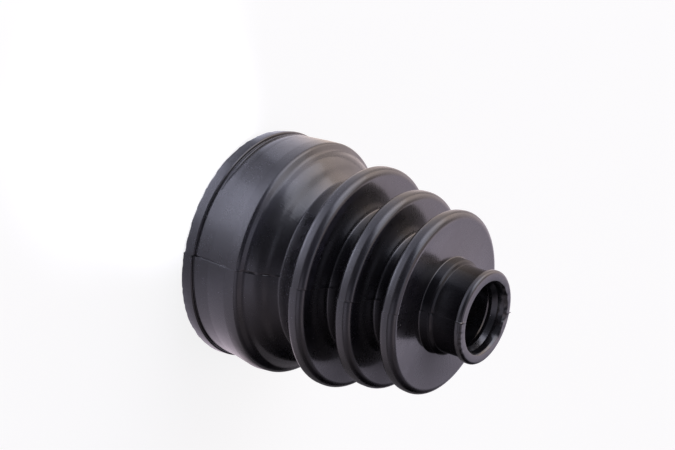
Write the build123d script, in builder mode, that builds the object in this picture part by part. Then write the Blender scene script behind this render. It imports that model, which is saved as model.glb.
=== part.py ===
from build123d import *

import os
from math import cos, radians, tan

os.makedirs("parts", exist_ok=True)

# Rubber bellows boot for a drive-shaft joint: one moulded sleeve of soft rubber.
# Millimetres. The large end stands on Z = 0, and +Z runs up the axis to the small end.
# The mould parts on the XZ plane.

# Overall
overall_height = 101.2          # large face to small face
skin = 2.2                      # wall of the folds

# Inside the large end: the seat on the joint's housing, with its locating bead
joint_bore_radius = 39.0
joint_bore_lead = 0.6
bead_height = 0.9
bead_station = 9.7
bead_land = 1.0
bead_slope = 1.0                # axial run of each flank

# Outside the large end: lip, seat for the wide band clamp, and the shoulder above it
seat_wall = 3.3
rim_rise = 0.9                  # lip above the seat
rim_width = 4.6
rim_round = 0.6
band_seat_width = 6.6
shoulder_rise = 1.35            # shoulder above the seat
shoulder_ramp = 8.4             # axial length of the slope from the seat up to the shoulder
shoulder_land = 5.0
shoulder_round = 1.9
step_depth = 2.3                # radial drop of the bevel at the shoulder's edge
step_width = 1.9
step_foot_round = 2.5

# Dome between the bevel and the first valley
dome_height = 9.4
dome_slope = 20.0               # degrees from the axis where the dome leaves the bevel
dome_lean = 41.0                # degrees from square where the dome meets the valley
dome_round = 4.5

# Folds, from the large end to the small end
first_crest_station = 48.1
fold_pitch = 16.8
crest_drops = (2.9, 7.5, 10.15)         # below the shoulder
valley_drops = (10.65, 17.15, 21.4)     # below the shoulder
crest_width = 6.2
crest_round = 2.8
rear_lean = 15.0                # degrees from square, the flank that faces the large end
front_lean = 4.5                # degrees from square, the flank that faces the small end
rear_foot_round = 7.2
front_foot_round = 0.7

# Inside the small end: the seat on the shaft, with the rib that fills the shaft's groove
shaft_bore_radius = 13.0
shaft_bore_lead = 0.45
rib_height = 1.0
rib_station = 95.3
rib_land = 1.3
rib_front_slope = 1.9           # axial run of the flank towards the mouth
rib_rear_slope = 1.0
throat_round = 3.0              # turn from the last fold into the bore

# Outside the small end: raised collar, seat for the narrow band clamp, and the lip
neck_wall = 2.8
collar_rise = 1.5               # collar above the seat
collar_width = 3.9
collar_step = 0.55
lip_rise = 1.2                  # lip above the seat
lip_width = 2.7
lip_round = 1.25

least_core_round = 1.0          # an inside edge finer than this is left sharp, as the core leaves it
most_foot_share = 0.95          # share of a valley's floor or flank that a rounding may take

band_seat_radius = joint_bore_radius + seat_wall
rim_radius = band_seat_radius + rim_rise
shoulder_radius = band_seat_radius + shoulder_rise
crest_radii = [shoulder_radius - drop for drop in crest_drops]
valley_radii = [shoulder_radius - drop for drop in valley_drops]
neck_radius = shaft_bore_radius + neck_wall
collar_radius = neck_radius + collar_rise
lip_radius = neck_radius + lip_rise


def large_end_outline():
    """Corners (radius, height, rounding) up the outside, from the rim to the shoulder."""
    seat_top = rim_width + band_seat_width
    shoulder_foot = seat_top + shoulder_ramp
    shoulder_edge = shoulder_foot + shoulder_land
    return [
        (rim_radius, 0.0, 0.0),
        (rim_radius, rim_width, rim_round),
        (band_seat_radius, rim_width, 0.0),
        (band_seat_radius, seat_top, 0.0),
        (shoulder_radius, shoulder_foot, 0.0),
        (shoulder_radius, shoulder_edge, shoulder_round),
    ]


def dome_outline(shoulder_edge):
    """Bevel, then the dome that turns down into the first valley."""
    bevel_radius = shoulder_radius - step_depth
    bevel_top = shoulder_edge + step_width
    dome_top = bevel_top + dome_height
    fall = tan(radians(dome_slope))
    lean = tan(radians(dome_lean))
    # the knee is where the line off the bevel crosses the line up from the valley
    knee_radius = (bevel_radius - (dome_height + valley_radii[0] * lean) * fall) / (1 - lean * fall)
    knee_height = dome_top - (knee_radius - valley_radii[0]) * lean
    return [
        (bevel_radius, bevel_top, step_foot_round),
        (knee_radius, knee_height, dome_round),
        (valley_radii[0], dome_top, front_foot_round),
    ]


def rear_foot(floor, flank):
    """Rounding between a valley's floor and the flank behind it, within the room that both leave."""
    half_turn = radians(90 - rear_lean) / 2
    floor_room = floor - front_foot_round * tan(radians(90 - front_lean) / 2)
    flank_room = flank - crest_round * tan(half_turn)
    return min(rear_foot_round, most_foot_share * min(floor_room, flank_room) / tan(half_turn))


def fold_outline(number, foot_before):
    """Rear foot, crest and front foot of one fold, above the foot that starts its valley."""
    station = first_crest_station + number * fold_pitch
    crest = crest_radii[number]
    rear_edge = station - crest_width / 2
    front_edge = station + crest_width / 2
    rear_drop = crest - valley_radii[number]
    foot = rear_edge - rear_drop * tan(radians(rear_lean))
    foot_rounding = rear_foot(foot - foot_before, rear_drop / cos(radians(rear_lean)))
    corners = [
        (valley_radii[number], foot, foot_rounding),
        (crest, rear_edge, crest_round),
        (crest, front_edge, crest_round),
    ]
    if number + 1 < len(crest_radii):
        next_valley = valley_radii[number + 1]
        front_foot = front_edge + (crest - next_valley) * tan(radians(front_lean))
        corners.append((next_valley, front_foot, front_foot_round))
    return corners


def inset(corners, wall, neighbour_before, neighbour_after):
    """Corners of the surface that lies one wall inside a run of outer corners."""
    run = [neighbour_before, *corners, neighbour_after]
    inner = []
    for before, here, after in zip(run, run[1:], run[2:]):
        point = Vector(*here[:2])
        arriving = (point - Vector(*before[:2])).normalized()
        leaving = (Vector(*after[:2]) - point).normalized()
        inward = Vector(-arriving.Y, arriving.X) + Vector(-leaving.Y, leaving.X)
        moved = point + inward * (wall / (1 + arriving.dot(leaving)))
        convex = arriving.X * leaving.Y - arriving.Y * leaving.X > 0
        rounding = here[2] - wall if convex else here[2] + wall
        inner.append((moved.X, moved.Y, rounding if rounding > least_core_round else 0.0))
    return inner


def neck_outline(face_height):
    """Collar, band seat and lip of the small end, from the last fold's face upward."""
    collar_top = face_height + collar_width
    collar_land = collar_radius - collar_step
    lip_foot = overall_height - lip_width
    return [
        (collar_radius, face_height, 0.0),
        (collar_radius, collar_top - collar_step, 0.0),
        (collar_land, collar_top, 0.0),
        (neck_radius, collar_top + collar_step, 0.0),
        (neck_radius, lip_foot, 0.0),
        (lip_radius, lip_foot + collar_step / 2, 0.0),
        (lip_radius, overall_height, lip_round),
    ]


def shaft_bore_outline(throat_height):
    """Small bore from the mouth down to the throat, with the sealing rib."""
    rib_crest = shaft_bore_radius - rib_height
    rib_top = rib_station + rib_land / 2
    rib_bottom = rib_station - rib_land / 2
    return [
        (shaft_bore_radius + shaft_bore_lead, overall_height, 0.0),
        (shaft_bore_radius, overall_height - 2 * shaft_bore_lead, 0.0),
        (shaft_bore_radius, rib_top + rib_front_slope, 0.0),
        (rib_crest, rib_top, 0.0),
        (rib_crest, rib_bottom, 0.0),
        (shaft_bore_radius, rib_bottom - rib_rear_slope, 0.0),
        (shaft_bore_radius, throat_height, throat_round),
    ]


def dome_core(dome, fold_after):
    """Inside of the dome, from where it meets the large bore up to the first valley."""
    knee, foot = inset(dome[1:], skin, dome[0], fold_after)
    slope_height = (joint_bore_radius - knee[0]) / tan(radians(dome_slope))
    slope_length = slope_height / cos(radians(dome_slope))
    if slope_length < least_core_round:
        # a dome wider than this meets the bore above its knee
        meeting = foot[1] - (joint_bore_radius - foot[0]) * tan(radians(dome_lean))
        return [(joint_bore_radius, meeting, 0.0), foot]
    half_turn = radians(90 - dome_slope - dome_lean) / 2
    rounding = min(knee[2], most_foot_share * slope_length / tan(half_turn))
    return [(joint_bore_radius, knee[1] - slope_height, 0.0), (knee[0], knee[1], rounding), foot]


def joint_bore_outline():
    """Large bore down to the open end, with the locating bead."""
    bead_crest = joint_bore_radius - bead_height
    bead_top = bead_station + bead_land / 2
    bead_bottom = bead_station - bead_land / 2
    return [
        (joint_bore_radius, bead_top + bead_slope, 0.0),
        (bead_crest, bead_top, 0.0),
        (bead_crest, bead_bottom, 0.0),
        (joint_bore_radius, bead_bottom - bead_slope, 0.0),
        (joint_bore_radius, joint_bore_lead, 0.0),
        (joint_bore_radius + joint_bore_lead, 0.0, 0.0),
    ]


def boot_section():
    """Closed outline of the rubber on one side of the axis, as corners with roundings."""
    large_end = large_end_outline()
    dome = dome_outline(large_end[-1][1])
    folds = []
    for number in range(len(crest_radii)):
        foot_before = (dome + folds)[-1][1]
        folds.extend(fold_outline(number, foot_before))
    neck = neck_outline(folds[-1][1])

    inner_dome = dome_core(dome, folds[0])
    inner_folds = inset(folds, skin, dome[-1], neck[0])
    shaft_bore = shaft_bore_outline(inner_folds[-1][1])
    inside = shaft_bore + list(reversed(inner_folds)) + list(reversed(inner_dome)) + joint_bore_outline()
    return large_end + dome + folds + neck + inside


section = boot_section()

with BuildPart() as bellows_boot:
    with BuildSketch(Plane.XZ) as rubber:
        with BuildLine():
            FilletPolyline(
                [(radius, height) for radius, height, _ in section],
                radius=[rounding for _, _, rounding in section],
                close=True,
            )
        make_face()
    revolve(axis=Axis.Z)

bellows_boot.part.label = "bellows_boot"
export_step(bellows_boot.part, "parts/bellows_boot.step")
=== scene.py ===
"""Rubber bellows boot, standing on its large end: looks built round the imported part."""

import logging
from dataclasses import dataclass, field
from math import atan, atan2, cos, degrees, pi, radians, sin, tan
from typing import Callable, Optional, Sequence

import bmesh
import bpy
from mathutils import Euler, Matrix, Vector, noise

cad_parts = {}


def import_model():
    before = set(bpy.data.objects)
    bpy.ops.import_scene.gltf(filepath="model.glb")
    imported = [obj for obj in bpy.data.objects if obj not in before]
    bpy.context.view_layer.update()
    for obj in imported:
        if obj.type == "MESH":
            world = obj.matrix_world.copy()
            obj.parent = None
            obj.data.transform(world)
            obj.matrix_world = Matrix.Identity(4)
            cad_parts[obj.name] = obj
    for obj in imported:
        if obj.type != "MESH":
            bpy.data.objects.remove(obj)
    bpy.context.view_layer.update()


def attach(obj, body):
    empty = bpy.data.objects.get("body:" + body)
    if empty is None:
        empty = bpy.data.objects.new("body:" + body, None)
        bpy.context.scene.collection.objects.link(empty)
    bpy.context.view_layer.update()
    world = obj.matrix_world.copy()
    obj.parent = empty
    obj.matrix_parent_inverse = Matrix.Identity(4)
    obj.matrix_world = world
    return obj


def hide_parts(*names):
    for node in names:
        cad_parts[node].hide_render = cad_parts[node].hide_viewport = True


MM = 0.001
SAME_PLACE = 1e-7           # two places in metres that lie closer than this are one
TOUCH = 0.02                # a vertex within this many millimetres of an edge belongs to it
LOG = logging.getLogger("bellows_boot")


# ---------------------------------------------------------------- colour and nodes

def srgb(code: str) -> tuple[float, float, float, float]:
    """Turn an sRGB hex colour into linear RGBA.

    Args:
        code: Six hex digits, such as "1B1B1D".

    Returns:
        Linear red, green and blue, and an alpha of 1.
    """
    channels = [int(code[i:i + 2], 16) / 255 for i in (0, 2, 4)]
    linear = [c / 12.92 if c <= 0.04045 else ((c + 0.055) / 1.055) ** 2.4 for c in channels]
    return (*linear, 1.0)


def add_node(tree: bpy.types.NodeTree, kind: str, settings: Optional[dict] = None,
             links: Optional[dict] = None) -> bpy.types.Node:
    """Add one node with its settings and its incoming links.

    Args:
        tree: The tree that the node joins.
        kind: The node's type name, such as "ShaderNodeMath".
        settings: Socket names or numbers to their values, and properties with a leading dot.
        links: Socket names or numbers to the outputs that feed them.

    Returns:
        The new node.
    """
    node = tree.nodes.new(kind)
    for name, value in (settings or {}).items():
        if isinstance(name, str) and name.startswith("."):
            setattr(node, name[1:], value)
        else:
            node.inputs[name].default_value = value
    for name, source in (links or {}).items():
        tree.links.new(source, node.inputs[name])
    return node


def calculate(tree: bpy.types.NodeTree, operation: str, first: bpy.types.NodeSocket,
              second: bpy.types.NodeSocket | float) -> bpy.types.NodeSocket:
    """Add one Math node.

    Args:
        tree: The tree that the node joins.
        operation: The node's own name for it, such as "MULTIPLY".
        first: The socket that it works on.
        second: The other socket, or a number.

    Returns:
        The socket of the result.
    """
    if isinstance(second, bpy.types.NodeSocket):
        node = add_node(tree, "ShaderNodeMath", {".operation": operation}, {0: first, 1: second})
    else:
        node = add_node(tree, "ShaderNodeMath", {".operation": operation, 1: second}, {0: first})
    return node.outputs[0]


def blotches(tree: bpy.types.NodeTree, place: bpy.types.NodeSocket, size: float, detail: float,
             roughness: float = 0.5) -> bpy.types.NodeSocket:
    """Noise in soft blotches of one size.

    Args:
        tree: The tree to add to.
        place: The Object coordinates.
        size: How far apart the blotches lie, in millimetres.
        detail: How many finer layers lie over them.
        roughness: How strong those layers are.

    Returns:
        The noise, from 0 to 1.
    """
    return add_node(tree, "ShaderNodeTexNoise", {
        "Scale": 1 / (size * MM), "Detail": detail, "Roughness": roughness}, {"Vector": place}).outputs[0]


# ---------------------------------------------------------------- modelling by hand

def deselect_all() -> None:
    """Leave no object selected, so that operators act only on what comes next."""
    if bpy.context.object and bpy.context.object.mode != "OBJECT":
        bpy.ops.object.mode_set(mode="OBJECT")
    bpy.ops.object.select_all(action="DESELECT")


def edit_mesh() -> bmesh.types.BMesh:
    """Return the mesh that is being edited."""
    return bmesh.from_edit_mesh(bpy.context.edit_object.data)


def select_where(test: Callable[[Vector], bool]) -> None:
    """Select the vertices whose place passes a test, and nothing else.

    Args:
        test: Takes a vertex's place in metres.
    """
    bpy.ops.mesh.select_all(action="DESELECT")
    mesh = edit_mesh()
    for vertex in mesh.verts:
        if test(vertex.co):
            vertex.select_set(True)
    mesh.select_flush(True)
    bmesh.update_edit_mesh(bpy.context.edit_object.data)


@dataclass(frozen=True)
class Corner:
    """One corner of the boot's section, in millimetres."""

    radius: float
    height: float
    rounding: float = 0.0
    segments: int = 2


def turn_at(before: Corner, here: Corner, after: Corner) -> float:
    """How far the outline turns at a corner, whichever way it turns.

    Args:
        before: The corner before it.
        here: The corner.
        after: The corner after it.

    Returns:
        The turn in radians.
    """
    arriving = Vector((here.radius - before.radius, here.height - before.height)).normalized()
    leaving = Vector((after.radius - here.radius, after.height - here.height)).normalized()
    return abs(arriving.angle_signed(leaving))


class SectionPen:
    """Draws a closed section as a wire in the XZ plane, corner by corner, then rounds it."""

    def __init__(self, name: str) -> None:
        """Start an empty mesh object in edit mode.

        Args:
            name: The object's name.
        """
        deselect_all()
        bpy.ops.mesh.primitive_plane_add(size=MM, location=(0, 0, 0))
        self.object = bpy.context.object
        self.object.name = name
        self.object.data.name = name
        bpy.ops.object.mode_set(mode="EDIT")
        bpy.context.tool_settings.mesh_select_mode = (True, False, False)
        bpy.ops.mesh.select_all(action="SELECT")
        bpy.ops.mesh.merge(type="CENTER")

    def draw(self, corners: Sequence[Corner]) -> None:
        """Extrude one point from corner to corner and join the last to the first.

        Args:
            corners: The closed outline, in order.
        """
        first = corners[0]
        bpy.ops.transform.translate(value=(first.radius * MM, 0, first.height * MM))
        for before, here in zip(corners, corners[1:]):
            step = ((here.radius - before.radius) * MM, 0, (here.height - before.height) * MM)
            bpy.ops.mesh.extrude_region_move(TRANSFORM_OT_translate={"value": step})
        last = corners[-1]
        ends = [Vector((c.radius * MM, 0, c.height * MM)) for c in (first, last)]
        select_where(lambda place: any((place - end).length < SAME_PLACE for end in ends))
        bpy.ops.mesh.edge_face_add()

    def round_corners(self, corners: Sequence[Corner]) -> None:
        """Bevel each corner's vertex into its arc.

        Args:
            corners: The same outline that was drawn.
        """
        ring = [corners[-1], *corners, corners[0]]
        for before, here, after in zip(ring, ring[1:], ring[2:]):
            if here.rounding <= 0:
                continue
            place = Vector((here.radius * MM, 0, here.height * MM))
            select_where(lambda co: (co - place).length < SAME_PLACE)
            reach = here.rounding * tan(turn_at(before, here, after) / 2)
            bpy.ops.mesh.bevel(offset_type="OFFSET", offset=reach * MM, segments=here.segments,
                               affect="VERTICES", profile=0.5)


# ---------------------------------------------------------------- the boot's sub-assemblies

@dataclass
class LargeEnd:
    """Lip, seat of the wide band clamp and shoulder, in millimetres."""

    rim_radius: float = 43.2
    rim_width: float = 4.6
    rim_round: float = 0.6
    groove_depth: float = 0.25
    groove_width: float = 0.6
    crease_heights: tuple[float, ...] = (5.75, 6.0, 6.25)
    band_seat_radius: float = 42.3
    band_seat_width: float = 6.6
    shoulder_radius: float = 43.65
    shoulder_ramp: float = 8.4
    shoulder_land: float = 5.0
    shoulder_round: float = 1.9
    step_depth: float = 2.55
    step_width: float = 1.7
    step_foot_round: float = 2.5
    bore_radius: float = 39.0
    bore_lead: float = 0.6
    bead_height: float = 0.9
    bead_station: float = 9.7
    bead_land: float = 1.0
    bead_slope: float = 1.0
    face_round: float = 0.25
    groove_round: float = 0.15
    groove_lip_round: float = 0.3
    ramp_round: float = 3.0
    bead_round: float = 0.4
    lead_round: float = 0.2

    def shoulder_edge(self) -> float:
        """Height of the shoulder's upper edge."""
        return self.rim_width + self.band_seat_width + self.shoulder_ramp + self.shoulder_land

    def outside(self) -> list[Corner]:
        """Corners up the outside, from the rim to the foot of the bevel.

        Returns:
            The corners, in order.
        """
        seat_top = self.rim_width + self.band_seat_width
        shoulder_foot = seat_top + self.shoulder_ramp
        groove_floor = self.band_seat_radius - self.groove_depth
        return [
            Corner(self.rim_radius, 0.0, self.face_round),
            Corner(self.rim_radius, self.rim_width, self.rim_round, 5),
            Corner(groove_floor, self.rim_width, self.groove_round),
            Corner(groove_floor, self.rim_width + self.groove_width / 2, self.groove_round),
            Corner(self.band_seat_radius, self.rim_width + self.groove_width, self.groove_lip_round),
            *(Corner(self.band_seat_radius, height) for height in self.crease_heights),
            Corner(self.band_seat_radius, seat_top, self.ramp_round, 4),
            Corner(self.shoulder_radius, shoulder_foot, self.ramp_round, 4),
            Corner(self.shoulder_radius, self.shoulder_edge(), self.shoulder_round, 8),
            Corner(self.shoulder_radius - self.step_depth, self.shoulder_edge() + self.step_width,
                   self.step_foot_round, 6),
        ]

    def inside(self, step_height: float) -> list[Corner]:
        """Corners down the bore, from where the dome's inside ends to the open end.

        Args:
            step_height: Height at which the dome's inside meets the bore.

        Returns:
            The corners, in order.
        """
        bead_crest = self.bore_radius - self.bead_height
        bead_top = self.bead_station + self.bead_land / 2
        bead_bottom = self.bead_station - self.bead_land / 2
        return [
            Corner(self.bore_radius, step_height, self.ramp_round, 4),
            Corner(self.bore_radius, bead_top + self.bead_slope, self.bead_round),
            Corner(bead_crest, bead_top, self.bead_round),
            Corner(bead_crest, bead_bottom, self.bead_round),
            Corner(self.bore_radius, bead_bottom - self.bead_slope, self.bead_round),
            Corner(self.bore_radius, self.bore_lead, self.lead_round),
            Corner(self.bore_radius + self.bore_lead, 0.0, self.lead_round),
        ]


@dataclass
class Folds:
    """Dome and stepped folds, in millimetres."""

    dome_height: float = 9.6
    dome_slope: float = 24.0
    dome_lean: float = 41.0
    dome_round: float = 10.5
    dome_sink: float = 0.3
    dome_sink_radius: float = 35.9
    dome_sink_round: float = 9.0
    first_crest_station: float = 48.1
    pitch: float = 16.8
    crest_radii: tuple[float, ...] = (40.75, 36.15, 33.5)
    valley_radii: tuple[float, ...] = (33.0, 26.5, 22.25)
    crest_width: float = 6.2
    crest_round: float = 2.8
    floor_rises: tuple[float, ...] = (3.6, 0.3, 0.0)
    rear_lean: float = 15.0
    front_lean: float = 4.5
    rear_foot_rounds: tuple[float, ...] = (4.2, 7.0, 7.2)
    front_foot_round: float = 0.7
    skin: float = 2.2
    least_core_round: float = 0.5

    def dome(self, bevel: Corner) -> list[Corner]:
        """Knee of the dome and the foot where it meets the first valley.

        Args:
            bevel: The corner at the top of the shoulder's bevel.

        Returns:
            The corners, in order.
        """
        dome_top = bevel.height + self.dome_height
        fall = tan(radians(self.dome_slope))
        lean = tan(radians(self.dome_lean))
        valley = self.valley_radii[0]
        knee = (bevel.radius - (self.dome_height + valley * lean) * fall) / (1 - lean * fall)
        sink_radius = self.dome_sink_radius - self.dome_sink * sin(radians(self.dome_lean))
        sink_height = (dome_top - (self.dome_sink_radius - valley) * lean
                       - self.dome_sink * cos(radians(self.dome_lean)))
        return [
            Corner(knee, dome_top - (knee - valley) * lean, self.dome_round, 12),
            Corner(sink_radius, sink_height, self.dome_sink_round, 4),
            Corner(valley, dome_top, self.front_foot_round, 4),
        ]

    def fold(self, number: int) -> list[Corner]:
        """Rear foot, crest and front foot of one fold.

        Args:
            number: 0 for the fold next to the dome.

        Returns:
            The corners, in order.
        """
        station = self.first_crest_station + number * self.pitch
        crest = self.crest_radii[number]
        valley = self.valley_radii[number]
        rear_edge = station - self.crest_width / 2
        front_edge = station + self.crest_width / 2
        floor_end = valley + self.floor_rises[number]
        rear_foot = rear_edge - (crest - floor_end) * tan(radians(self.rear_lean))
        corners = [
            Corner(floor_end, rear_foot, self.rear_foot_rounds[number], 12),
            Corner(crest, rear_edge, self.crest_round, 10),
            Corner(crest, front_edge, self.crest_round, 10),
        ]
        if number + 1 < len(self.crest_radii):
            following = self.valley_radii[number + 1]
            foot = front_edge + (crest - following) * tan(radians(self.front_lean))
            corners.append(Corner(following, foot, self.front_foot_round, 4))
        return corners

    def all_folds(self) -> list[Corner]:
        """Corners of every fold, in order.

        Returns:
            The corners, in order.
        """
        corners = []
        for number in range(len(self.crest_radii)):
            corners.extend(self.fold(number))
        return corners

    def inset(self, corners: Sequence[Corner], before: Corner, after: Corner) -> list[Corner]:
        """Corners of the surface one skin inside a run of outer corners.

        Args:
            corners: The outer run.
            before: The outer corner that comes before it.
            after: The outer corner that comes after it.

        Returns:
            The inner run, in the same order.
        """
        run = [before, *corners, after]
        inner = []
        for last, here, following in zip(run, run[1:], run[2:]):
            point = Vector((here.radius, here.height))
            arriving = (point - Vector((last.radius, last.height))).normalized()
            leaving = (Vector((following.radius, following.height)) - point).normalized()
            inward = Vector((-arriving.y, arriving.x)) + Vector((-leaving.y, leaving.x))
            moved = point + inward * (self.skin / (1 + arriving.dot(leaving)))
            convex = arriving.x * leaving.y - arriving.y * leaving.x > 0
            rounding = here.rounding - self.skin if convex else here.rounding + self.skin
            segments = max(3, here.segments // 2)
            inner.append(Corner(moved.x, moved.y, max(rounding, self.least_core_round), segments))
        return inner


@dataclass
class SmallEnd:
    """Collar, seat of the narrow band clamp, lip and the bore behind it, in millimetres."""

    overall_height: float = 101.2
    collar_radius: float = 17.3
    collar_width: float = 3.9
    collar_step: float = 0.55
    neck_radius: float = 15.8
    lip_radius: float = 17.0
    lip_width: float = 2.7
    lip_round: float = 1.25
    bore_radius: float = 13.0
    bore_lead: float = 0.45
    rib_height: float = 1.0
    rib_station: float = 95.3
    rib_land: float = 1.3
    rib_front_slope: float = 1.9
    rib_rear_slope: float = 1.0
    throat_round: float = 3.0
    collar_foot_round: float = 0.45
    collar_round: float = 0.2
    neck_foot_round: float = 0.4
    lip_foot_round: float = 0.5
    rib_lead_round: float = 0.3
    edge_round: float = 0.25

    def outside(self, face_height: float) -> list[Corner]:
        """Corners up the outside, from the last fold's face to the lip.

        Args:
            face_height: Height of the last fold's face.

        Returns:
            The corners, in order.
        """
        collar_top = face_height + self.collar_width
        lip_foot = self.overall_height - self.lip_width
        return [
            Corner(self.collar_radius, face_height, self.collar_foot_round, 3),
            Corner(self.collar_radius, collar_top - self.collar_step, self.collar_round),
            Corner(self.collar_radius - self.collar_step, collar_top, self.collar_round),
            Corner(self.neck_radius, collar_top + self.collar_step, self.neck_foot_round, 3),
            Corner(self.neck_radius, lip_foot, self.edge_round),
            Corner(self.lip_radius, lip_foot + self.collar_step / 2, self.lip_foot_round, 4),
            Corner(self.lip_radius, self.overall_height, self.lip_round, 8),
        ]

    def inside(self, throat_height: float) -> list[Corner]:
        """Corners down the bore, from the mouth to the throat.

        Args:
            throat_height: Height at which the bore opens into the last fold.

        Returns:
            The corners, in order.
        """
        rib_crest = self.bore_radius - self.rib_height
        rib_top = self.rib_station + self.rib_land / 2
        rib_bottom = self.rib_station - self.rib_land / 2
        mouth = self.overall_height
        return [
            Corner(self.bore_radius + self.bore_lead, mouth, self.edge_round, 3),
            Corner(self.bore_radius, mouth - 2 * self.bore_lead, self.edge_round),
            Corner(self.bore_radius, rib_top + self.rib_front_slope, self.rib_lead_round),
            Corner(rib_crest, rib_top, self.edge_round),
            Corner(rib_crest, rib_bottom, self.edge_round),
            Corner(self.bore_radius, rib_bottom - self.rib_rear_slope, self.edge_round),
            Corner(self.bore_radius, throat_height, self.throat_round, 6),
        ]


@dataclass
class SpinPlan:
    """How the section is carried round the axis, with finer steps at the mould's parting line."""

    fine_angle: float = 1.2
    fine_steps: int = 4
    broad_steps: int = 132

    def arcs(self) -> list[tuple[float, int]]:
        """Angles in degrees and their step counts, in order, for one full turn.

        Returns:
            Rows of (angle in degrees, steps).
        """
        broad = 180 - 2 * self.fine_angle
        return [
            (self.fine_angle, self.fine_steps),
            (broad, self.broad_steps),
            (2 * self.fine_angle, 2 * self.fine_steps),
            (broad, self.broad_steps),
            (self.fine_angle, self.fine_steps),
        ]


def along(table: Sequence[tuple[float, float]], at: float) -> float:
    """Read a table of (place, value) at a place, with a smooth step from row to row.

    Args:
        table: Rows in rising order of place.
        at: Where to read it; past either end the end row's value holds.

    Returns:
        The value there.
    """
    if at <= table[0][0]:
        return table[0][1]
    for (low, before), (high, after) in zip(table, table[1:]):
        if at <= high:
            share = (at - low) / (high - low)
            return before + (after - before) * share * share * (3 - 2 * share)
    return table[-1][1]


@dataclass
class SoftSet:
    """How the soft boot lies off its true shape once it is out of the mould, in millimetres and degrees."""

    # height, then how far the wall stands out on the side towards -Y and on the side towards +Y
    slack: tuple[tuple[float, float, float], ...] = (
        (0, 0.0, -0.55), (2, 0.3, -0.65), (4, 0.7, -0.7), (7, 1.2, -0.6), (10, 1.3, -0.36), (13, 1.1, -0.15),
        (16, 0.75, -0.08), (19, 0.45, -0.15), (22, 0.48, -0.2), (25, 0.6, -0.8), (28, 0.5, -0.95),
        (32, 0.3, -0.8), (37, 0.1, -0.55), (43, 0.1, 0.0), (49, 0.2, 0.3), (57, 0.1, 0.1), (67, 0.25, 0.2),
        (73, 0.0, -0.1), (78, -0.2, -0.35), (83, 0.25, -0.1), (90, 0.0, 0.0), (101, -0.08, 0.08),
    )
    slack_heading: float = -103.75
    rim_lift: float = 1.3
    rim_lift_height: float = 5.2
    rim_lift_fade: float = 7.0
    rim_lift_within: float = 36.0       # nothing nearer the axis than this is lifted
    steepest_lift: float = 0.35         # share of a point's height, so that the face stays on the ground

    def lobes(self, theta: float) -> tuple[float, float]:
        """Share of each side's slack at an angle round the axis.

        Args:
            theta: Angle in degrees from +X towards +Y.

        Returns:
            The share of the side towards -Y and of the side towards +Y, each from 0 to 1.
        """
        facing = cos(radians(theta - self.slack_heading))
        return max(0.0, facing) ** 2, max(0.0, -facing) ** 2

    def move(self, radius: float, theta: float, height: float) -> tuple[float, float]:
        """How far a point moves outwards and upwards, in millimetres.

        Args:
            radius: Its distance from the axis.
            theta: Its angle in degrees.
            height: Its height above the large end's face.

        Returns:
            How far outwards and how far up.
        """
        one, other = self.lobes(theta)
        out = one * along([(h, a) for h, a, _ in self.slack], height)
        out += other * along([(h, b) for h, _, b in self.slack], height)
        near = max(0.0, 1 - abs(height - self.rim_lift_height) / self.rim_lift_fade)
        up = self.rim_lift * one * near * near * (3 - 2 * near) if radius > self.rim_lift_within else 0.0
        return out, min(up, self.steepest_lift * height)


@dataclass
class PartingLine:
    """What the two mould halves leave along +X and -X: a fine line, some flash and a small offset."""

    line_width: float = 0.8
    line_depth: float = 0.38
    flash_height: float = 0.25
    offset: float = 0.25
    rim_offset: float = 0.85
    offset_fade: float = 25.0
    far_flash: tuple[float, float] = (0.35, 0.4)    # along -X: least flash, and what the table adds to it
    # height along the boot and how much flash is left there, from 0 to 1
    flash: tuple[tuple[float, float], ...] = (
        (0, 1.0), (2.5, 0.9), (4.2, 0.2), (6.0, 0.0), (7.5, 0.8), (9.0, 0.1), (12.5, 0.0), (14.0, 0.6),
        (15.5, 0.0), (22.5, 0.3), (24.5, 1.0), (26.0, 0.2), (28.5, 0.0), (30.5, 0.7), (32.0, 0.1),
        (35.5, 0.9), (38.0, 0.3), (44.0, 0.2), (47.0, 0.8), (50.0, 0.3), (52.5, 0.9), (58.0, 0.3),
        (62.0, 0.7), (66.0, 0.2), (69.0, 0.9), (76.0, 0.2), (80.0, 0.8), (84.5, 0.6), (86.0, 0.9),
        (90.0, 0.3), (95.0, 0.7), (98.5, 0.9), (101.2, 1.0),
    )

    def from_line(self, theta: float) -> tuple[float, bool]:
        """Angle in degrees from the nearer parting line, and whether that line is the one along -X.

        Args:
            theta: Angle in degrees from +X towards +Y, between -180 and 180.

        Returns:
            The angle, and True for the line along -X.
        """
        if abs(theta) <= 90:
            return theta, False
        return (180 - theta if theta > 0 else -180 - theta), True

    def rise(self, theta: float, radius: float, height: float) -> float:
        """How far the skin stands out at a point near the line, in millimetres; below 0 it is cut in.

        Args:
            theta: Angle in degrees.
            radius: Distance from the axis.
            height: Height above the large end's face.

        Returns:
            The distance along the skin's normal.
        """
        aside, far_line = self.from_line(theta)
        share = 1 - abs(radians(aside)) * radius / (self.line_width / 2)
        if share <= 0:
            return 0.0
        left = along(self.flash, height)
        if far_line:
            least, added = self.far_flash
            left = least + added * left
        return share * (self.flash_height * left - self.line_depth * (1 - left))

    def shift(self, theta: float, height: float) -> float:
        """How far the +Y half sits lower than the other, in millimetres.

        Args:
            theta: Angle in degrees.
            height: Height above the large end's face.

        Returns:
            The drop, which is 0 on the other half.
        """
        aside, _ = self.from_line(theta)
        if theta <= 0.01 or abs(aside) > self.offset_fade:
            return 0.0
        amount = along([(0, 0.0), (4.0, self.rim_offset), (7.0, self.rim_offset), (11.0, self.offset),
                        (97.0, self.offset), (101.2, 0.0)], height)
        share = 1 - abs(aside) / self.offset_fade
        return amount * share * share


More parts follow.
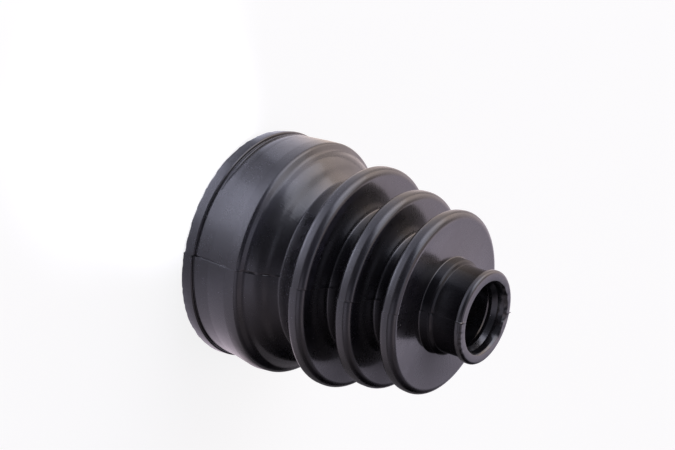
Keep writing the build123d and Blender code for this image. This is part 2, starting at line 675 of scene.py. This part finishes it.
@dataclass
class TrimmedRim:
    """Hand-trimmed outer edge of the large end's face, and the second crease beside its groove."""

    # angle in degrees and how much of the edge is cut away, in millimetres
    cut: tuple[tuple[float, float], ...] = (
        (-180, 0.3), (-140, 0.5), (-110, 1.2), (-74, 1.4), (-62, 1.1), (-49, 0.9), (-24, 0.7), (-0.6, 0.95),
        (0.6, 0.05), (38, 0.0), (48, 0.5), (62, 0.9), (76, 1.4), (100, 1.0), (130, 0.4), (180, 0.3),
    )
    ragged: float = 0.75
    ragged_length: float = 2.4
    fine_share: float = 0.6
    fine_length: float = 0.9
    flank: float = 0.45
    edge_band: float = 0.3              # in from the rim's radius and up from the face
    # angle in degrees and depth of the second crease in millimetres
    crease: tuple[tuple[float, float], ...] = ((-100, 0.0), (-88, 0.2), (-50, 0.24), (-34, 0.12), (-26, 0.0))

    def bite(self, place: Vector, theta: float) -> float:
        """How much of the edge is gone at a place, in millimetres.

        Args:
            place: The place, in metres.
            theta: Its angle in degrees.

        Returns:
            The depth of the cut, never below 0.
        """
        grain = noise.noise(place / (self.ragged_length * MM))
        grain += self.fine_share * noise.noise(place / (self.fine_length * MM))
        return max(0.0, along(self.cut, theta) + self.ragged * grain)


@dataclass
class MouthFlash:
    """Thin rubber left on the small lip, in millimetres and degrees.

    A fin stands at each parting line, with a torn film beside one of them, and one side of the mouth's inner
    edge is torn back.
    """

    fin_heights: tuple[float, float] = (0.45, 1.1)      # at +X and at -X
    fin_half_angle: float = 0.75
    fin_band: tuple[float, float] = (99.0, 101.1)
    fin_from_radius: float = 16.0
    film_angles: tuple[float, float] = (2.0, 52.0)
    film_end_angles: tuple[float, float] = (5.0, 12.0)  # over which the film rises at each end
    film_height: float = 0.42
    film_from_radius: float = 15.4
    film_from_height: float = 100.35
    film_tear: tuple[float, float] = (0.55, 0.9)        # mean share left, and how far it swings
    film_tear_length: float = 1.6
    tear_heading: float = 178.0
    tear_half_angle: float = 62.0
    tear_depth: float = 1.15
    tear_swing: tuple[float, float] = (0.85, 0.8)       # mean share of the depth, and how far it swings
    tear_length: float = 2.3
    tear_within_radius: float = 13.8
    tear_from_height: float = 98.6
    tear_fade: tuple[float, float] = (99.5, 1.6)        # height where it starts to deepen, and over how much
    tear_least: float = 0.25
    tear_sag: float = 0.3

    def rise(self, place: Vector, theta: float, aside: float, far_line: bool) -> tuple[float, float]:
        """How far the lip's skin stands out from the axis and up from the mouth, in millimetres.

        Args:
            place: The place, in metres.
            theta: Its angle in degrees.
            aside: Its angle from the nearer parting line.
            far_line: Whether that line is the one along -X.

        Returns:
            How far outwards and how far up.
        """
        height = place.z / MM
        radius = Vector((place.x, place.y)).length / MM
        out = up = 0.0
        low, high = self.fin_band
        if low < height < high and radius > self.fin_from_radius and abs(aside) < self.fin_half_angle:
            out = self.fin_heights[far_line] * (1 - abs(aside) / self.fin_half_angle)
        first, last = self.film_angles
        if first < theta < last and radius > self.film_from_radius and height > self.film_from_height:
            mean, swing = self.film_tear
            left = max(0.0, mean + swing * noise.noise(place / (self.film_tear_length * MM)))
            rising, falling = self.film_end_angles
            ends = min(1.0, (theta - first) / rising, (last - theta) / falling)
            up = 0.5 * self.film_height * left * ends
            out += up
        return out, up

    def tear(self, place: Vector, theta: float) -> tuple[float, float]:
        """How far the mouth's inner edge is torn back outwards and how far down, in millimetres.

        Args:
            place: The place, in metres.
            theta: Its angle in degrees.

        Returns:
            How far outwards, and how far up, which is below 0.
        """
        height = place.z / MM
        radius = Vector((place.x, place.y)).length / MM
        aside = abs((theta - self.tear_heading + 180) % 360 - 180) / self.tear_half_angle
        if radius > self.tear_within_radius or height < self.tear_from_height or aside > 1:
            return 0.0, 0.0
        mean, swing = self.tear_swing
        torn = self.tear_depth * (1 - aside * aside)
        torn *= mean + swing * noise.noise(place / (self.tear_length * MM))
        start, fade = self.tear_fade
        torn *= max(self.tear_least, min(1.0, (height - start) / fade))
        return torn, -self.tear_sag * torn


@dataclass
class MouldedBoot:
    """The whole boot: one moulded piece of rubber."""

    large_end: LargeEnd = field(default_factory=LargeEnd)
    folds: Folds = field(default_factory=Folds)
    small_end: SmallEnd = field(default_factory=SmallEnd)
    spin: SpinPlan = field(default_factory=SpinPlan)
    soft_set: SoftSet = field(default_factory=SoftSet)
    parting: PartingLine = field(default_factory=PartingLine)
    rim: TrimmedRim = field(default_factory=TrimmedRim)
    mouth: MouthFlash = field(default_factory=MouthFlash)
    name: str = "bellows_boot_rubber"
    weld_distance: float = 0.002
    smooth_angle: float = 50.0
    outer_facing: float = 0.02          # skin whose normal leans outwards by more than this is on the outside
    shaded_neck_gap: float = 0.15             # above the last fold's face, where the darker copy of the rubber, painted shade, starts
    shaded_neck_wall: float = 1.5             # least wall outside the bore that counts as the neck's outside

    def section(self) -> list[Corner]:
        """The closed section, up the outside and down the inside.

        Returns:
            The corners, in order.
        """
        outside = self.large_end.outside()
        bevel = outside[-1]
        dome = self.folds.dome(bevel)
        folds = self.folds.all_folds()
        neck = self.small_end.outside(folds[-1].height)
        inner_dome = self.folds.inset(dome, bevel, folds[0])
        inner_folds = self.folds.inset(folds, dome[-1], neck[0])
        slope = radians(self.folds.dome_slope)
        reach = bevel.radius - self.folds.skin / cos(slope) - self.large_end.bore_radius
        bore_step = bevel.height + reach / tan(slope)
        shaft_bore = self.small_end.inside(inner_folds[-1].height)
        inside = shaft_bore + inner_folds[::-1] + inner_dome[::-1] + self.large_end.inside(bore_step)
        return outside + dome + folds + neck + inside

    def build(self) -> bpy.types.Object:
        """Draw the section and spin it.

        Returns:
            The finished mesh object, at the origin.
        """
        corners = self.section()
        pen = SectionPen(self.name)
        pen.draw(corners)
        pen.round_corners(corners)
        LOG.info("section: %d corners, %d points", len(corners), len(edit_mesh().verts))
        bpy.ops.mesh.select_all(action="SELECT")
        for angle, steps in self.spin.arcs():
            bpy.ops.mesh.spin(steps=steps, angle=radians(angle), center=(0, 0, 0), axis=(0, 0, 1))
        bpy.ops.mesh.select_all(action="SELECT")
        bpy.ops.mesh.remove_doubles(threshold=self.weld_distance * MM)
        bpy.ops.mesh.normals_make_consistent(inside=False)
        self.shape_by_hand()
        bpy.ops.object.mode_set(mode="OBJECT")
        bpy.ops.object.shade_smooth_by_angle(angle=radians(self.smooth_angle))
        return pen.object

    def dress(self, boot: bpy.types.Object) -> None:
        """Give the boot its two finishes: waxy rubber all over, and round the neck a darker copy of it whose
        darker colour is painted shade.

        Args:
            boot: The finished mesh object.
        """
        boot.data.materials.append(MouldedChloroprene().material())
        # the neck's copy of the rubber is darker: painted shade
        boot.data.materials.append(neck_shaded_chloroprene().material())
        foot = self.folds.all_folds()[-1].height + self.shaded_neck_gap
        top = self.small_end.overall_height - self.small_end.lip_width
        for face in boot.data.polygons:
            radius, height = Vector((face.center.x, face.center.y)).length / MM, face.center.z / MM
            if foot < height < top and radius > self.small_end.bore_radius + self.shaded_neck_wall:
                face.material_index = 1

    def shape_by_hand(self) -> None:
        """Move vertices off the true section: the soft set, the parting line and the trimmed rim."""
        mesh = edit_mesh()
        mesh.normal_update()
        wall = self.large_end
        targets = []
        for vertex in mesh.verts:
            place = vertex.co
            flat = Vector((place.x, place.y, 0.0))
            radius, height = flat.length / MM, place.z / MM
            outwards = flat.normalized()
            theta = degrees(atan2(place.y, place.x))
            outer = vertex.normal.dot(outwards) > self.outer_facing
            out, up = self.soft_set.move(radius, theta, height)
            if outer:
                up -= self.parting.shift(theta, height)
                on_seat = abs(radius - wall.band_seat_radius) < TOUCH
                if on_seat and abs(height - wall.crease_heights[1]) < TOUCH:
                    out -= along(self.rim.crease, theta)
                if radius > wall.rim_radius - self.rim.edge_band and height < self.rim.edge_band:
                    bite = self.rim.bite(place, theta)
                    share = 0.0 if height < TOUCH else height / wall.face_round
                    up += bite * share
                    out -= self.rim.flank * bite * (1 - share)
                fin_out, fin_up = self.mouth.rise(place, theta, *self.parting.from_line(theta))
                out += fin_out
                up += fin_up
            else:
                torn_out, torn_up = self.mouth.tear(place, theta)
                out += torn_out
                up += torn_up
            rise = self.parting.rise(theta, radius, height) if outer and height > TOUCH else 0.0
            moved = place + outwards * out * MM + vertex.normal * rise * MM + Vector((0, 0, up * MM))
            moved.z = max(moved.z, 0.0) if height > TOUCH else 0.0
            targets.append(moved)
        for vertex, target in zip(mesh.verts, targets):
            vertex.co = target
        bmesh.update_edit_mesh(bpy.context.edit_object.data)


# ---------------------------------------------------------------- finishes

@dataclass(frozen=True)
class MouldedChloroprene:
    """Black chloroprene rubber, pressed in a steel mould, under the film of wax that blooms out of it.

    The rubber itself is near black; the mould's polish and the wax film give it two glosses, one soft and
    one nearly sharp, that slow waves in the skin pull out of shape. Sizes are in millimetres.
    """

    name: str = "moulded_chloroprene"
    colour: str = "0F0E11"
    bloom_colour: str = "33313A"
    bloom_share: float = 0.22
    ior: float = 1.6
    roughness: tuple[float, float] = (0.22, 0.36)
    film_share: float = 1.0
    film_roughness: float = 0.14
    film_ior: float = 1.58
    wave_length: float = 11.0           # slow waves where the skin cooled unevenly
    wave_height: float = 0.07
    streak_width: float = 0.9           # lines that the rubber drew as it was pulled off the core
    streak_length: float = 14.0
    streak_height: float = 0.018
    streak_radius: float = 35.0         # where the lines are streak_width apart
    grain: float = 0.9                  # the mould's blasted grain is 0.2, drawn coarser so that it shows
    grain_height: float = 0.008
    smear_size: float = 9.0
    patch_size: float = 13.0
    dust_spacing: float = 5.0
    dust_left_out: float = 0.55         # share of the specks
    dust_size: float = 0.3
    dust_colour: str = "A8A6A4"

    def around(self, tree: bpy.types.NodeTree, place: bpy.types.NodeSocket) -> bpy.types.NodeSocket:
        """Coordinates in millimetres round the boot, out from its axis and up it, for the drawn streaks.

        Args:
            tree: The tree to add to.
            place: The Object coordinates.

        Returns:
            The three coordinates.
        """
        axes = add_node(tree, "ShaderNodeSeparateXYZ", links={0: place})
        flat = add_node(tree, "ShaderNodeCombineXYZ", links={0: axes.outputs[0], 1: axes.outputs[1]})
        radius = add_node(tree, "ShaderNodeVectorMath", {".operation": "LENGTH"}, {0: flat.outputs[0]})
        turn = calculate(tree, "ARCTAN2", axes.outputs[1], axes.outputs[0])
        arc = calculate(tree, "MULTIPLY", turn, self.streak_radius / self.streak_width)
        out = calculate(tree, "MULTIPLY", radius.outputs["Value"], 1 / (self.streak_length * MM))
        up = calculate(tree, "MULTIPLY", axes.outputs[2], 1 / (self.streak_length * MM))
        return add_node(tree, "ShaderNodeCombineXYZ", links={0: arc, 1: out, 2: up}).outputs[0]

    def relief(self, tree: bpy.types.NodeTree, place: bpy.types.NodeSocket) -> bpy.types.NodeSocket:
        """Normal of the skin with its slow waves, drawn streaks and mould grain.

        Args:
            tree: The tree to add to.
            place: The Object coordinates.

        Returns:
            The normal.
        """
        waves = blotches(tree, place, self.wave_length, 1.0)
        streaks = add_node(tree, "ShaderNodeTexNoise", {"Scale": 1.0, "Detail": 1.5},
                           {"Vector": self.around(tree, place)}).outputs[0]
        grain = blotches(tree, place, self.grain, 2.0)
        layers = ((waves, self.wave_height), (streaks, self.streak_height), (grain, self.grain_height))
        normal = None
        for layer, height in layers:
            links = {"Height": layer}
            if normal:
                links["Normal"] = normal
            normal = add_node(tree, "ShaderNodeBump", {"Strength": 1.0, "Distance": height * MM},
                              links).outputs[0]
        return normal

    def skin_roughness(self, tree: bpy.types.NodeTree, place: bpy.types.NodeSocket) -> bpy.types.NodeSocket:
        """Roughness that wanders between polished and dull, as handling leaves it.

        Args:
            tree: The tree to add to.
            place: The Object coordinates.

        Returns:
            The roughness.
        """
        smears = blotches(tree, place, self.smear_size, 4.0, 0.65)
        return add_node(tree, "ShaderNodeMapRange", {
            "From Min": 0.35, "From Max": 0.65, "To Min": self.roughness[0], "To Max": self.roughness[1]},
            {"Value": smears}).outputs[0]

    def skin_colour(self, tree: bpy.types.NodeTree, place: bpy.types.NodeSocket) -> bpy.types.NodeSocket:
        """Near-black rubber with a faint patchy bloom of wax and a few specks of dust.

        Args:
            tree: The tree to add to.
            place: The Object coordinates.

        Returns:
            The colour.
        """
        patches = blotches(tree, place, self.patch_size, 5.0, 0.6)
        bloom = add_node(tree, "ShaderNodeMapRange", {
            "From Min": 0.45, "From Max": 0.75, "To Max": self.bloom_share}, {"Value": patches})
        rubber = add_node(tree, "ShaderNodeMix", {
            ".data_type": "RGBA", 6: srgb(self.colour), 7: srgb(self.bloom_colour)}, {0: bloom.outputs[0]})
        specks = add_node(tree, "ShaderNodeTexVoronoi", {"Scale": 1 / (self.dust_spacing * MM)},
                          {"Vector": place})
        speck_radius = self.dust_size / self.dust_spacing / 2
        near = calculate(tree, "LESS_THAN", specks.outputs["Distance"], speck_radius)
        drawn = add_node(tree, "ShaderNodeSeparateColor", links={0: specks.outputs["Color"]})
        kept = calculate(tree, "GREATER_THAN", drawn.outputs[0], self.dust_left_out)
        dust = calculate(tree, "MULTIPLY", near, kept)
        return add_node(tree, "ShaderNodeMix", {".data_type": "RGBA", 7: srgb(self.dust_colour)},
                        {0: dust, 6: rubber.outputs[2]}).outputs[2]

    def material(self) -> bpy.types.Material:
        """Build the node material.

        Returns:
            The material.
        """
        made = bpy.data.materials.new(self.name)
        made.use_nodes = True
        tree = made.node_tree
        tree.nodes.clear()
        place = add_node(tree, "ShaderNodeTexCoord").outputs["Object"]
        relief = self.relief(tree, place)
        shader = add_node(tree, "ShaderNodeBsdfPrincipled", {
            "IOR": self.ior,
            "Coat Weight": self.film_share,
            "Coat Roughness": self.film_roughness,
            "Coat IOR": self.film_ior,
        }, {
            "Base Color": self.skin_colour(tree, place),
            "Roughness": self.skin_roughness(tree, place),
            "Normal": relief,
            "Coat Normal": relief,
        })
        add_node(tree, "ShaderNodeOutputMaterial", links={"Surface": shader.outputs[0]})
        return made


def neck_shaded_chloroprene() -> MouldedChloroprene:
    """A darker copy of the same rubber for the neck: less bloom in its colour, no film and a smoother skin.
    Its darker colour is painted shade on the neck.
    """
    return MouldedChloroprene(name="neck_shaded_chloroprene", bloom_share=0.1, ior=1.52, roughness=(0.13, 0.2),
                              film_share=0.0)


# ---------------------------------------------------------------- studio

def heading(azimuth: float, elevation: float) -> Vector:
    """Unit vector from the boot towards a direction given in degrees.

    Args:
        azimuth: 0 towards -Y, 90 towards +X.
        elevation: Angle above the floor.

    Returns:
        The vector.
    """
    a, e = radians(azimuth), radians(elevation)
    return Vector((sin(a) * cos(e), -cos(a) * cos(e), sin(e)))


@dataclass
class Softbox:
    """One rectangular studio lamp, aimed at the boot."""

    name: str
    azimuth: float
    elevation: float
    width: float
    height: float
    radiance: float
    colour: str = "FFFFFF"
    distance: float = 1.2
    aim: tuple[float, float, float] = (0.0, 0.0, 0.05)

    def build(self) -> bpy.types.Object:
        """Add the lamp, turned to its aim point.

        Returns:
            The lamp.
        """
        back = heading(self.azimuth, self.elevation)
        deselect_all()
        bpy.ops.object.light_add(type="AREA", location=Vector(self.aim) + back * self.distance)
        lamp = bpy.context.object
        lamp.name = self.name
        lamp.rotation_mode = "QUATERNION"
        lamp.rotation_quaternion = back.to_track_quat("Z", "Y")
        lamp.data.shape = "RECTANGLE"
        lamp.data.size = self.width
        lamp.data.size_y = self.height
        lamp.data.color = srgb(self.colour)[:3]
        lamp.data.energy = self.radiance * pi * self.width * self.height
        return lamp


@dataclass
class FloorSpot:
    """A narrow lamp straight above the floor beside the boot, whose pool of light the boot mirrors."""

    name: str
    azimuth: float
    reach: float
    spread: float
    radiance: float
    colour: str = "E4E6FF"
    drop: float = 1.2
    bulb_radius: float = 0.02

    def build(self) -> bpy.types.Object:
        """Add the lamp above the middle of its pool.

        Returns:
            The lamp.
        """
        place = heading(self.azimuth, 0) * self.reach
        place.z = self.drop
        deselect_all()
        bpy.ops.object.light_add(type="SPOT", location=place)
        lamp = bpy.context.object
        lamp.name = self.name
        lamp.data.spot_size = 2 * atan(self.spread / self.drop)
        lamp.data.spot_blend = 1.0
        lamp.data.shadow_soft_size = self.bulb_radius
        lamp.data.color = srgb(self.colour)[:3]
        lamp.data.energy = self.radiance * 4 * pi ** 2 * self.drop ** 2
        lamp.visible_glossy = False
        lamp.visible_camera = False
        return lamp


def azimuth_share(tree: bpy.types.NodeTree, axes: bpy.types.Node) -> bpy.types.NodeSocket:
    """Angle round the boot as a share of one turn, 0.5 towards -Y.

    Args:
        tree: The tree to add to.
        axes: A Separate XYZ node of the place or direction.

    Returns:
        The share.
    """
    front = calculate(tree, "MULTIPLY", axes.outputs["Y"], -1.0)
    turn = calculate(tree, "ARCTAN2", axes.outputs["X"], front)
    share = add_node(tree, "ShaderNodeMapRange", {"From Min": -pi, "From Max": pi}, {"Value": turn})
    return share.outputs[0]


def level_curve(tree: bpy.types.NodeTree, source: bpy.types.NodeSocket, table: Sequence[tuple[float, float]],
                low: float = -180.0, high: float = 180.0) -> bpy.types.NodeSocket:
    """Brightness read from a table by a smooth curve.

    Args:
        tree: The tree to add to.
        source: What the table is read by, from 0 at low to 1 at high.
        table: Rows of (place, level) in rising order of place.
        low: The place at 0.
        high: The place at 1.

    Returns:
        The brightness.
    """
    peak = max(level for _, level in table)
    node = add_node(tree, "ShaderNodeFloatCurve", links={"Value": source})
    curve = node.mapping.curves[0]
    while len(curve.points) < len(table):
        curve.points.new(0.5, 0.5)
    for point, (place, level) in zip(curve.points, table):
        point.location = ((place - low) / (high - low), level / peak)
    node.mapping.update()
    return calculate(tree, "MULTIPLY", node.outputs[0], peak)


def tint_ramp(tree: bpy.types.NodeTree, turn: bpy.types.NodeSocket,
              stops: Sequence[tuple[float, str]]) -> bpy.types.NodeSocket:
    """Faint colour of the light by azimuth.

    Args:
        tree: The tree to add to.
        turn: Angle as a share of one turn, from azimuth_share.
        stops: Rows of (azimuth, sRGB hex) in rising order.

    Returns:
        The colour.
    """
    node = add_node(tree, "ShaderNodeValToRGB", links={0: turn})
    stops_made = node.color_ramp.elements
    while len(stops_made) < len(stops):
        stops_made.new(0.5)
    for stop, (azimuth, code) in zip(stops_made, stops):
        stop.position = (azimuth + 180) / 360
        stop.color = srgb(code)
    return node.outputs["Color"]


ROOM_TINTS: tuple[tuple[float, str], ...] = (
    (-180, "FBEAF6"), (-112, "F0E8FF"), (-96, "F6E8FA"), (-70, "FFECEC"), (-35, "FFEADF"), (-8, "F2EDFC"),
    (20, "E2E5FF"), (70, "E6E7FF"), (110, "EDE7FF"), (150, "F4E6F8"), (180, "FBEAF6"),
)


def blend_levels(tree: bpy.types.NodeTree, one: bpy.types.NodeSocket, other: bpy.types.NodeSocket,
                 by: bpy.types.NodeSocket, start: float, end: float) -> bpy.types.NodeSocket:
    """Blend smoothly from one brightness to another.

    Args:
        tree: The tree to add to.
        one: The brightness at start and below it.
        other: The brightness at end and above it.
        by: The value that moves the blend.
        start: Where the blend starts.
        end: Where it ends.

    Returns:
        The blended brightness.
    """
    share = add_node(tree, "ShaderNodeMapRange", {
        ".interpolation_type": "SMOOTHSTEP", "From Min": start, "From Max": end}, {"Value": by})
    return add_node(tree, "ShaderNodeMix", {".data_type": "FLOAT"},
                    {"Factor": share.outputs[0], "A": one, "B": other}).outputs[0]


def seen_or_lit(tree: bpy.types.NodeTree, turn: bpy.types.NodeSocket, lit: bpy.types.NodeSocket,
                seen: float) -> tuple[bpy.types.NodeSocket, bpy.types.NodeSocket]:
    """Brightness and tint of a bright surface: plain white to the camera, and tinted to every other ray.

    Args:
        tree: The tree to add to.
        turn: Angle as a share of one turn, from azimuth_share.
        lit: Brightness to every other ray.
        seen: Brightness to the camera.

    Returns:
        The brightness and the colour.
    """
    ray = add_node(tree, "ShaderNodeLightPath").outputs["Is Camera Ray"]
    level = add_node(tree, "ShaderNodeMix", {".data_type": "FLOAT", "B": seen}, {"Factor": ray, "A": lit})
    tint = add_node(tree, "ShaderNodeMix", {".data_type": "RGBA", 7: (1, 1, 1, 1)},
                    {0: ray, 6: tint_ramp(tree, turn, ROOM_TINTS)})
    return level.outputs[0], tint.outputs[2]


@dataclass
class Room:
    """The room round the boot, seen only in its gloss: one long lit wall, a dark corner and a dim back."""

    # azimuth in degrees and brightness, where 1 is white, from the dark back round to it again
    low_wall: tuple[tuple[float, float], ...] = (
        (-180, 0.06), (-128, 0.02), (-112, 0.4), (-97, 0.8), (-67, 1.0), (-45, 1.5), (-22, 1.6), (0, 1.6),
        (20, 0.9), (34, 0.2), (60, 0.11), (82, 0.12), (98, 0.42), (115, 0.52), (130, 0.45), (150, 0.25),
        (180, 0.06),
    )
    high_wall: tuple[tuple[float, float], ...] = (
        (-180, 0.2), (-130, 0.2), (-114, 1.1), (-97, 1.3), (-78, 0.75), (-60, 0.45), (-20, 0.45), (5, 0.6),
        (22, 0.4), (37, 0.18), (60, 0.1), (85, 0.08), (105, 0.18), (130, 0.24), (150, 0.22), (180, 0.2),
    )
    ceiling: tuple[tuple[float, float], ...] = (
        (-180, 0.6), (-140, 0.4), (-85, 0.35), (-45, 0.7), (-20, 0.75), (12, 0.55), (25, 0.26),
        (40, 0.16), (60, 0.12), (85, 0.1), (110, 0.17), (140, 0.35), (180, 0.6),
    )
    zenith: float = 0.6
    # elevations in degrees over which each band passes into the next
    low_to_high: tuple[float, float] = (26.0, 42.0)
    high_to_ceiling: tuple[float, float] = (50.0, 62.0)
    ceiling_to_zenith: tuple[float, float] = (66.0, 75.0)

    def build(self) -> bpy.types.World:
        """Make the world: white to the camera, and the room to every other ray.

        Returns:
            The world.
        """
        world = bpy.data.worlds.new("studio_room")
        bpy.context.scene.world = world
        world.use_nodes = True
        tree = world.node_tree
        tree.nodes.clear()
        where = add_node(tree, "ShaderNodeTexCoord")
        axes = add_node(tree, "ShaderNodeSeparateXYZ", links={0: where.outputs["Generated"]})
        turn = azimuth_share(tree, axes)
        low, high, top = (level_curve(tree, turn, t) for t in (self.low_wall, self.high_wall, self.ceiling))
        rise = axes.outputs["Z"]
        walls = blend_levels(tree, low, high, rise, *(sin(radians(e)) for e in self.low_to_high))
        sides = blend_levels(tree, walls, top, rise, *(sin(radians(e)) for e in self.high_to_ceiling))
        start, end = (sin(radians(e)) for e in self.ceiling_to_zenith)
        above = add_node(tree, "ShaderNodeMapRange", {
            ".interpolation_type": "SMOOTHSTEP", "From Min": start, "From Max": end}, {"Value": rise})
        inside = add_node(tree, "ShaderNodeMix", {".data_type": "FLOAT", "B": self.zenith},
                          {"Factor": above.outputs[0], "A": sides})
        level, tint = seen_or_lit(tree, turn, inside.outputs[0], 1.0)
        back = add_node(tree, "ShaderNodeBackground", links={"Color": tint, "Strength": level})
        add_node(tree, "ShaderNodeOutputWorld", links={"Surface": back.outputs[0]})
        return world


@dataclass
class Studio:
    """White paper floor with painted pools of light and painted shade in its mirrored glow, the room and its
    lamps.
    """

    floor_size: float = 6.0
    paper: float = 0.85
    seen_glow: float = 0.7
    seen_level: float = 1.2             # makes up for the matt share, so that the open floor is white
    mirrored_glow: float = 0.75
    # azimuth and brightness of the painted light on the paper as the gloss shows it, close to the boot and
    # across the room: painted pools of light and painted shade
    near_painted_light: tuple[tuple[float, float], ...] = (
        (-180, 0.6), (-140, 0.6), (-104, 0.8), (-60, 0.95), (-34, 1.0), (-10, 1.0), (14, 0.85), (24, 0.3),
        (32, 0.3), (42, 0.7), (50, 1.0), (64, 1.0), (74, 0.55), (88, 0.4), (101, 0.48), (115, 0.65),
        (138, 0.7), (155, 0.85), (168, 0.9), (180, 0.6),
    )
    middle_painted_light: tuple[tuple[float, float], ...] = (
        (-180, 0.03), (-140, 0.01), (-115, 0.5), (-84, 0.8), (-63, 0.85), (-43, 0.85), (-23, 0.95), (-6, 0.9),
        (10, 0.85), (27, 0.85), (43, 1.0), (60, 1.0), (76, 0.95), (93, 0.64), (110, 0.7), (127, 0.66),
        (145, 0.5), (160, 0.27), (176, 0.07), (180, 0.03),
    )
    far_painted_light: tuple[tuple[float, float], ...] = (
        (-180, 0.1), (-127, 0.05), (-108, 0.7), (-80, 0.55), (-55, 0.6), (-35, 0.9), (-7, 1.0), (10, 0.75),
        (25, 0.5), (40, 0.12), (140, 0.12), (180, 0.1),
    )
    # distance from the axis in millimetres, and how much of the painted light is left there: a faint painted
    # ring of shade
    shade: tuple[tuple[float, float], ...] = (
        (0, 1.0), (75, 1.0), (118, 1.0), (140, 0.95), (165, 0.9), (200, 1.0), (500, 1.0),
    )
    shade_reach: float = 500.0
    # distances in metres over which each band of painted light passes into the next
    near_to_middle: tuple[float, float] = (0.062, 0.082)
    middle_to_far: tuple[float, float] = (0.2, 0.34)

    def floor(self) -> bpy.types.Object:
        """Add the paper floor, whose glow to glossy rays carries painted pools of light and painted shade.

        Returns:
            The floor.
        """
        deselect_all()
        bpy.ops.mesh.primitive_plane_add(size=self.floor_size, location=(0, 0, 0))
        floor = bpy.context.object
        floor.name = "studio_floor"
        paper = bpy.data.materials.new("white_paper")
        paper.use_nodes = True
        tree = paper.node_tree
        tree.nodes.clear()
        matt = add_node(tree, "ShaderNodeBsdfDiffuse", {"Color": (self.paper, self.paper, self.paper, 1)})
        ray = add_node(tree, "ShaderNodeLightPath")
        where = add_node(tree, "ShaderNodeTexCoord")
        axes = add_node(tree, "ShaderNodeSeparateXYZ", links={0: where.outputs["Object"]})
        turn = azimuth_share(tree, axes)
        reach = add_node(tree, "ShaderNodeVectorMath", {".operation": "LENGTH"},
                         {0: where.outputs["Object"]}).outputs["Value"]
        share_out = add_node(tree, "ShaderNodeMapRange", {"From Min": 0.0, "From Max": self.shade_reach * MM},
                             {"Value": reach})
        # painted pools of light and painted shade: the paper's glow to glossy rays, by azimuth and by
        # distance from the boot
        near = level_curve(tree, turn, self.near_painted_light)
        far = level_curve(tree, turn, self.far_painted_light)
        middle = level_curve(tree, turn, self.middle_painted_light)
        close = blend_levels(tree, near, middle, reach, *self.near_to_middle)
        by_side = blend_levels(tree, close, far, reach, *self.middle_to_far)
        by_reach = level_curve(tree, share_out.outputs[0], self.shade, 0.0, self.shade_reach)
        level, tint = seen_or_lit(tree, turn, calculate(tree, "MULTIPLY", by_side, by_reach), self.seen_level)
        glow = add_node(tree, "ShaderNodeEmission", links={"Color": tint, "Strength": level})
        seen = calculate(tree, "MULTIPLY", ray.outputs["Is Camera Ray"], self.seen_glow)
        mirrored = calculate(tree, "MULTIPLY", ray.outputs["Is Glossy Ray"], self.mirrored_glow)
        share = calculate(tree, "MAXIMUM", seen, mirrored)
        mixed = add_node(tree, "ShaderNodeMixShader", links={
            0: share, 1: matt.outputs[0], 2: glow.outputs[0]})
        add_node(tree, "ShaderNodeOutputMaterial", links={"Surface": mixed.outputs[0]})
        floor.data.materials.append(paper)
        return floor

    def build(self) -> None:
        """Set up the floor, the room and every lamp."""
        self.floor()
        Room().build()
        lamps: list[Softbox | FloorSpot] = [
            Softbox("key_softbox", -8, 35, 1.1, 1.1, 0.75, "EEF0FF"),
            Softbox("key_core", -4, 44, 0.55, 0.5, 0.4, "EEF0FF"),
            FloorSpot("near_pool", 55, 0.066, 0.036, 4.2),
            FloorSpot("middle_pool", 56, 0.105, 0.06, 2.0),
            FloorSpot("far_pool", 52, 0.23, 0.07, 0.8),
        ]
        for lamp in lamps:
            lamp.build()


@dataclass
class ViewCamera:
    """Long lens looking down from beside the boot's axis, turned so that the boot lies across the picture."""

    place: tuple[float, float, float] = (0.5953, -0.1615, 0.4204)
    azimuth: float = 76.25
    elevation: float = 32.22
    roll: float = 107.4
    focal_length: float = 106.67
    sensor_width: float = 36.0

    def build(self) -> bpy.types.Object:
        """Add the camera and make it the scene's own.

        Returns:
            The camera.
        """
        deselect_all()
        bpy.ops.object.camera_add(location=self.place)
        camera = bpy.context.object
        camera.name = "view_camera"
        upright = Euler((radians(90 - self.elevation), 0, radians(self.azimuth)), "XYZ").to_matrix()
        turned = upright @ Matrix.Rotation(radians(self.roll), 3, "Z")
        camera.rotation_mode = "QUATERNION"
        camera.rotation_quaternion = turned.to_quaternion()
        camera.data.lens = self.focal_length
        camera.data.sensor_width = self.sensor_width
        bpy.context.scene.camera = camera
        return camera


def main() -> None:
    """Build the boot, dress it, light it and set the camera."""
    logging.basicConfig(level=logging.INFO, format="%(name)s: %(message)s")
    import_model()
    camera = ViewCamera().build()
    LOG.info("camera %s", camera.name)
    maker = MouldedBoot()
    boot = maker.build()
    maker.dress(boot)
    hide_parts("bellows_boot")
    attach(boot, "root")
    LOG.info("%s: %d faces", boot.name, len(boot.data.polygons))
    Studio().build()
    bpy.context.scene.view_settings.view_transform = "Standard"


if __name__ == "__main__":
    main()
